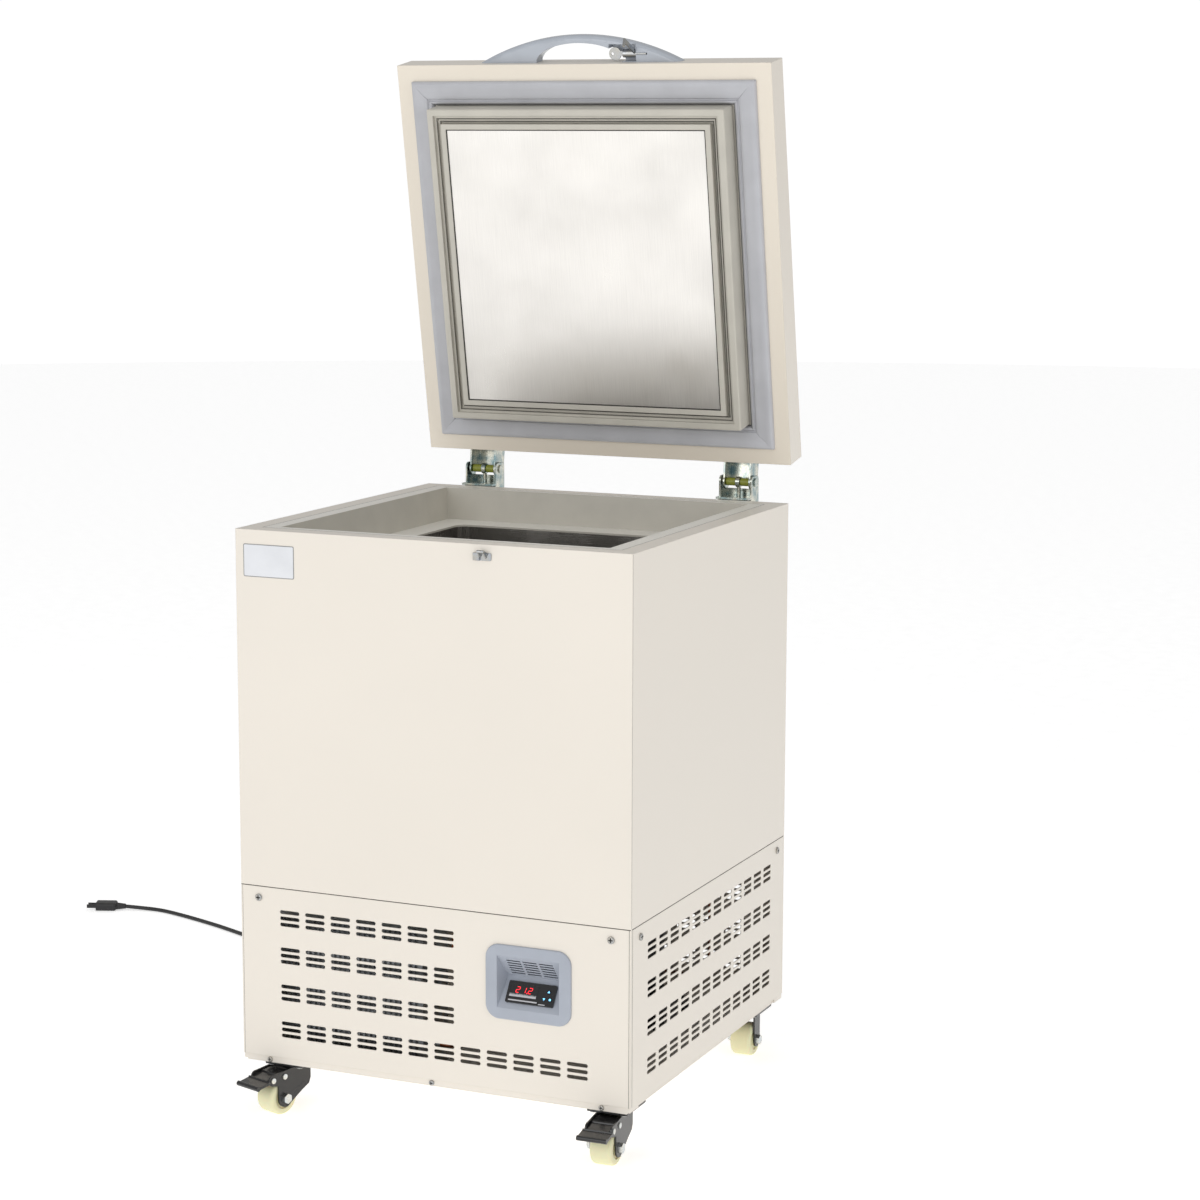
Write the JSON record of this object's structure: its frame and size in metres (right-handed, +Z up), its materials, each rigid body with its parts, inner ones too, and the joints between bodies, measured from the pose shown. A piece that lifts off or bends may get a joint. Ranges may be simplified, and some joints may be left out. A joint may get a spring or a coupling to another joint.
{
  "type": "chest ultra low temperature freezer",
  "caption": "Chest freezer on braked swivel casters in front and fixed ones behind, with a vented base, recessed controller, spring-hinged insulated lid standing open, key lock and power cord.",
  "frame": {"origin": "on the floor under the middle of the freezer's own bounding box, cord and plug left out, lid open", "axes": "+Z up; the front with the controller faces -Y; +X is to the right of someone facing the front"},
  "size_m": [1.4175, 0.9211, 1.5228],
  "materials": {
    "cabinet_paint": "cream powder coat, fine orange peel",
    "dark_zinc": "black e-coat",
    "mouth_moulding": "warm grey moulding",
    "stainless": "brushed stainless",
    "copper_tube": "drawn copper, a little dull",
    "foam": "rigid polyurethane foam, never seen",
    "galvanised": "galvanised sheet",
    "screw_zinc": "bright zinc",
    "bezel_plastic": "blue-grey ABS, satin",
    "black_plastic": "black ABS",
    "display": "smoked window with red digits behind it",
    "key_plastic": "grey moulded keys",
    "compressor_paint": "black enamel",
    "rubber": "black rubber",
    "aluminium_fins": "bare fins",
    "cord_rubber": "black PVC jacket",
    "chrome": "bright chrome",
    "hinge_zinc": "bluish zinc plate",
    "roller_nylon": "yellow-green nylon",
    "gasket": "blue-grey soft PVC",
    "plug_moulding": "warm grey moulding",
    "handle_plastic": "blue-grey ABS, satin",
    "wheel_nylon": "cream nylon",
    "caster_black": "black semi-gloss coat"
  },
  "bodies": {
    "cabinet": {"cabinet_shell": "cabinet_paint", "cabinet_insulation": "foam", "mouth_frame": "mouth_moulding", "tank_liner": "stainless", "evaporator_coil": "copper_tube", "floor_pan": "galvanised", "base_chassis": "cabinet_paint", "front_panel": "cabinet_paint", "right_panel": "cabinet_paint", "left_panel": "cabinet_paint", "rear_panel": "cabinet_paint", "base_screws": "screw_zinc", "control_bezel": "bezel_plastic", "controller_case": "black_plastic", "display_window": "display", "compressor": "compressor_paint", "compressor_feet": "rubber", "condenser": "aluminium_fins", "fan_shroud": "galvanised", "fan_motor": "dark_zinc", "refrigerant_lines": "copper_tube", "cable_gland": "black_plastic", "power_cord": "cord_rubber", "cord_coil": "cord_rubber", "power_plug": "cord_rubber", "lock_strike": "chrome", "hinge_brackets": "hinge_zinc", "hinge_pins": "hinge_zinc", "hinge_rollers": "roller_nylon", "hinge_screws": "screw_zinc", "caster_plates": "caster_black", "caster_fork_br": "caster_black", "caster_axle_br": "screw_zinc", "caster_fork_bl": "caster_black", "caster_axle_bl": "screw_zinc"},
    "lid": {"lid_shell": "cabinet_paint", "lid_insulation": "foam", "lid_gasket": "gasket", "lid_plug_frame": "plug_moulding", "lid_inner_plate": "stainless", "lid_handle": "handle_plastic", "hinge_leaves": "hinge_zinc", "lid_screws": "screw_zinc"},
    "lock": {"lock_key": "chrome"},
    "fan": {"fan_blades": "aluminium_fins"},
    "set_key": {"key_set": "key_plastic"},
    "up_key": {"key_up": "key_plastic"},
    "down_key": {"key_down": "key_plastic"},
    "fork_fl": {"caster_fork_fl": "caster_black", "caster_axle_fl": "screw_zinc"},
    "wheel_fl": {"caster_wheel_fl": "wheel_nylon"},
    "pedal_fl": {"brake_pedal_fl": "caster_black"},
    "fork_fr": {"caster_fork_fr": "caster_black", "caster_axle_fr": "screw_zinc"},
    "wheel_fr": {"caster_wheel_fr": "wheel_nylon"},
    "pedal_fr": {"brake_pedal_fr": "caster_black"},
    "wheel_br": {"caster_wheel_br": "wheel_nylon"},
    "wheel_bl": {"caster_wheel_bl": "wheel_nylon"}
  },
  "joints": [
    {"name": "lid_hinge", "type": "hinge", "parent": "cabinet", "child": "lid", "pos_m": [0, 0.3185, 0.8605], "axis": [1, 0, 0], "range_deg": [0, 79.9], "stiffness_Nm_per_rad": 9, "springref_deg": -54.43},
    {"name": "lock_turn", "type": "hinge", "parent": "lid", "child": "lock", "pos_m": [0.082, 0.21124, 1.49401], "axis": [1, 0, 0], "range_deg": [0, 45]},
    {"name": "fan_spin", "type": "hinge", "parent": "cabinet", "child": "fan", "pos_m": [-0.15, -0.204, 0.1775], "axis": [0, -1, 0], "continuous": true},
    {"name": "key_set_press", "type": "slide", "parent": "cabinet", "child": "set_key", "axis": [0, 0.8327, -0.5537], "range_m": [0, 0.0006], "stiffness_N_per_m": 600},
    {"name": "key_up_press", "type": "slide", "parent": "cabinet", "child": "up_key", "axis": [0, 0.8327, -0.5537], "range_m": [0, 0.0006], "stiffness_N_per_m": 600},
    {"name": "key_down_press", "type": "slide", "parent": "cabinet", "child": "down_key", "axis": [0, 0.8327, -0.5537], "range_m": [0, 0.0006], "stiffness_N_per_m": 600},
    {"name": "swivel_fl", "type": "hinge", "parent": "cabinet", "child": "fork_fl", "pos_m": [-0.237, -0.264, 0.06], "axis": [0, 0, 1], "continuous": true},
    {"name": "roll_fl", "type": "hinge", "parent": "fork_fl", "child": "wheel_fl", "pos_m": [-0.24826, -0.29767, 0.025], "axis": [0.9483, -0.3173, 0], "continuous": true},
    {"name": "pedal_fl_press", "type": "hinge", "parent": "fork_fl", "child": "pedal_fl", "pos_m": [-0.24874, -0.29909, 0.057], "axis": [0.9483, -0.3173, 0], "range_deg": [0, 10]},
    {"name": "swivel_fr", "type": "hinge", "parent": "cabinet", "child": "fork_fr", "pos_m": [0.264, -0.264, 0.06], "axis": [0, 0, 1], "continuous": true},
    {"name": "roll_fr", "type": "hinge", "parent": "fork_fr", "child": "wheel_fr", "pos_m": [0.26493, -0.29949, 0.025], "axis": [0.9997, 0.0262, 0], "continuous": true},
    {"name": "pedal_fr_press", "type": "hinge", "parent": "fork_fr", "child": "pedal_fr", "pos_m": [0.26497, -0.30099, 0.057], "axis": [0.9997, 0.0262, 0], "range_deg": [0, 10]},
    {"name": "roll_br", "type": "hinge", "parent": "cabinet", "child": "wheel_br", "pos_m": [0.264, 0.227, 0.025], "axis": [1, 0, 0], "continuous": true},
    {"name": "roll_bl", "type": "hinge", "parent": "cabinet", "child": "wheel_bl", "pos_m": [-0.237, 0.227, 0.025], "axis": [1, 0, 0], "continuous": true}
  ]
}
